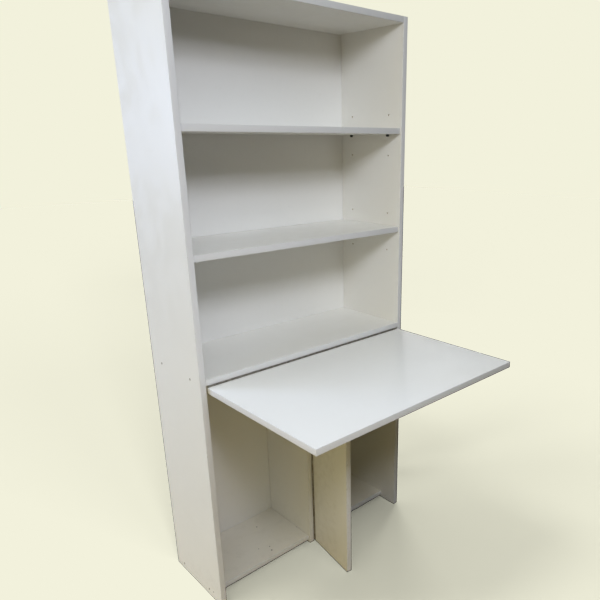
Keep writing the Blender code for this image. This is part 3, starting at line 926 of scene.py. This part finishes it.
flap_low, flap_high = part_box("flap_hinge_pin")
flap_pin = centre("flap_hinge_pin")
flap_length = flap_high.x - flap_low.x + 2 * HINGE_END_PLAY
flap_start = Vector((flap_low.x - HINGE_END_PLAY, flap_pin.y, flap_pin.z))
hinge(
    "flap", flap_length, evenly(*FLAP_SCREWS), 3,
    (
        ("fixed", "cabinet", 1, 0, Matrix.Translation(flap_start)),
        ("moving", "flap", -1, 1,
         Matrix.Translation(flap_start) @ Matrix.Rotation(UPRIGHT, 4, "X")),
    ),
)

leg_low, leg_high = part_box("leg_hinge_pin")
leg_length = leg_high.z - leg_low.z + 2 * HINGE_END_PLAY
leg_start = Vector((LEG_PIN.x, LEG_PIN.y, leg_low.z - HINGE_END_PLAY))
standing = Matrix.Translation(leg_start) @ Matrix.Rotation(UPRIGHT, 4, "Y")
swung = (
    Matrix.Translation(leg_start) @ Matrix.Rotation(LEG_REST + UPRIGHT, 4, "Z")
    @ Matrix.Rotation(UPRIGHT, 4, "Y")
)
hinge(
    "leg", leg_length, evenly(*LEG_SCREWS), 4,
    (
        ("fixed", "cabinet", 1, 0, standing),
        ("moving", "leg", -1, 1, swung),
    ),
)

# ---------------------------------------------------------------- nails in the back board
nail_profile = [
    (0.0, 0.0007), (0.0012, 0.00065), (0.0019, 0.0004), (0.0020, 0.0002), (0.0018, 0.0),
    (0.0007, 0.0), (0.0007, -0.0100), (0.0, -0.0115),
]


def back_nails():
    """Nails up both sides, along each fixed board and down the divider."""
    left, right = BACK_LOW.x + NAIL_INSET, BACK_HIGH.x - NAIL_INSET
    up = evenly(BACK_LOW.z + NAIL_END, BACK_HIGH.z - NAIL_END, NAILS_UP)
    places = [(x, z) for x in (left, right) for z in up]
    for board_name in ("top_panel", "desk_shelf", "bottom_panel_left"):
        across = evenly(left, right, NAIL_GAPS_ACROSS + 1)[1:-1]
        places += [(x, centre(board_name).z) for x in across]
    divider = centre("divider_panel")
    foot, head = 0.01, 2 * divider.z + 0.01
    places += [(divider.x, z) for z in evenly(foot, head, NAIL_GAPS_DIVIDER + 1)[1:-1]]
    joined = bmesh.new()
    for x, z in places:
        mesh = turned("nail", nail_profile, pointing((x, BACK_HIGH.y, z), (0, 1, 0)))
        joined.from_mesh(mesh)
        bpy.data.meshes.remove(mesh)
    mesh = smooth_round(to_mesh(joined, "back_nails"))
    piece("back_nails", mesh, "cabinet", (), (ZINC,))


back_nails()

# ---------------------------------------------------------------- stage
CREAM = (0.888, 0.880, 0.716, 1.0)
FLOOR_HALF = 14.0


def stage_floor():
    """A floor that takes the desk's shadow, and is else the cream of the background.

    Its paint shows only in the light that it throws up: warm under the open left side,
    and dim to the right, where the photo's compartment is dark.
    """
    bm = bmesh.new()
    bmesh.ops.create_grid(bm, x_segments=1, y_segments=1, size=FLOOR_HALF)
    mesh = to_mesh(bm, "floor")
    floor = bpy.data.objects.new("floor", mesh)
    bpy.context.scene.collection.objects.link(floor)
    s = Surface("floor_paint", Roughness=0.9, Specular_IOR_Level=0.1)
    mottle = noise(s.tree, s.place, 3.0, 3.0)
    pale = mix(s.tree, mottle, (0.54, 0.45, 0.27, 1.0), (0.58, 0.48, 0.30, 1.0))
    dim = spread(s.tree, s.axes()[0], -0.1, 0.4, 0.0, 1.0)
    s.link("Base Color", mix(s.tree, dim, pale, (0.08, 0.07, 0.05, 1.0)))
    mesh.materials.append(s.material)
    floor.is_shadow_catcher = True


def area_light(name, at, aim, size, power, colour):
    """A square soft lamp."""
    data = bpy.data.lights.new(name, "AREA")
    data.size = size
    data.energy = power
    data.color = colour
    lamp = bpy.data.objects.new(name, data)
    bpy.context.scene.collection.objects.link(lamp)
    lamp.location = at
    lamp.rotation_mode = "QUATERNION"
    lamp.rotation_quaternion = (Vector(aim) - Vector(at)).to_track_quat("-Z", "Y")


def world(glows):
    """Cream to the camera, and a soft room to everything else.

    Each glow is (axis, sign, colour, strength), and fills the half of the room on its side.
    """
    made = bpy.data.worlds.new("room")
    made.use_nodes = True
    bpy.context.scene.world = made
    tree = made.node_tree
    tree.nodes.clear()
    towards = node(tree, "TexCoord").outputs["Generated"]
    xyz = node(tree, "SeparateXYZ", None, Vector=towards).outputs
    total = None
    for axis, sign, colour, strength in glows:
        share = math(tree, "MAXIMUM", math(tree, "MULTIPLY", xyz[axis], sign * strength), 0.0)
        part = node(
            tree, "VectorMath", {"operation": "SCALE"}, Vector=colour, Scale=share
        ).outputs[0]
        if total is None:
            total = part
        else:
            total = node(
                tree, "VectorMath", {"operation": "ADD"}, i0=total, i1=part
            ).outputs[0]
    seen = node(tree, "Background", None, Color=CREAM, Strength=1.0)
    lit = node(tree, "Background", None, Color=total, Strength=1.0)
    path = node(tree, "LightPath")
    chosen = node(
        tree, "MixShader", None, i0=path.outputs["Is Camera Ray"],
        i1=lit.outputs[0], i2=seen.outputs[0],
    )
    out = node(tree, "OutputWorld")
    tree.links.new(chosen.outputs[0], out.inputs["Surface"])


AIM = (0.0, 0.1, 0.9)
LAMPS = (   # name, place, size, watts, colour
    ("key_front_left", (-1.10, -1.70, 2.37), 0.5, 27.4, (0.885, 0.905, 1.0)),
    ("front_high", (0.0, -2.20, 3.20), 1.2, 21.9, (0.81, 0.91, 1.0)),
    ("left_high", (-1.18, 0.31, 3.87), 0.9, 36.4, (0.70, 0.81, 1.0)),
    ("left_rear", (-2.40, 2.11, 1.57), 0.9, 49.8, (0.53, 0.66, 1.0)),
    ("left_front", (-2.08, -1.64, 2.60), 0.9, 8.8, (0.68, 0.815, 1.0)),
    ("right_rear_high", (2.20, 2.60, 2.40), 1.2, 30.0, (1.0, 1.0, 1.0)),
    ("right_low", (3.00, 1.40, 0.38), 0.7, 45.0, (1.0, 0.98, 0.95)),
)
GLOWS = (   # axis, sign, colour, strength
    (X, -1, (1.0, 0.82, 0.225), 0.59),
    (Y, 1, (1.0, 1.0, 1.0), 0.15),
    (X, 1, (1.0, 1.0, 1.0), 0.04),
)
stage_floor()
world(GLOWS)
for lamp_name, at, size, power, colour in LAMPS:
    area_light(lamp_name, at, AIM, size, power, colour)

# ---------------------------------------------------------------- camera
CAMERA_AT = (-1.0977, -1.2632, 1.3979)
HEADING, DIP, ROLL = radians(-43.438), radians(19.153), radians(-0.186)

camera_data = bpy.data.cameras.new("camera")
camera_data.sensor_width = 36.0
camera_data.lens = 34.40
camera_data.shift_x = -0.0937
camera_data.shift_y = 0.0712
camera = bpy.data.objects.new("camera", camera_data)
bpy.context.scene.collection.objects.link(camera)
camera.matrix_world = (
    Matrix.Translation(CAMERA_AT)
    @ Matrix.Rotation(HEADING, 4, "Z")
    @ Matrix.Rotation(radians(90.0) - DIP, 4, "X")
    @ Matrix.Rotation(ROLL, 4, "Z")
)
bpy.context.scene.camera = camera
bpy.context.scene.view_settings.view_transform = "Standard"
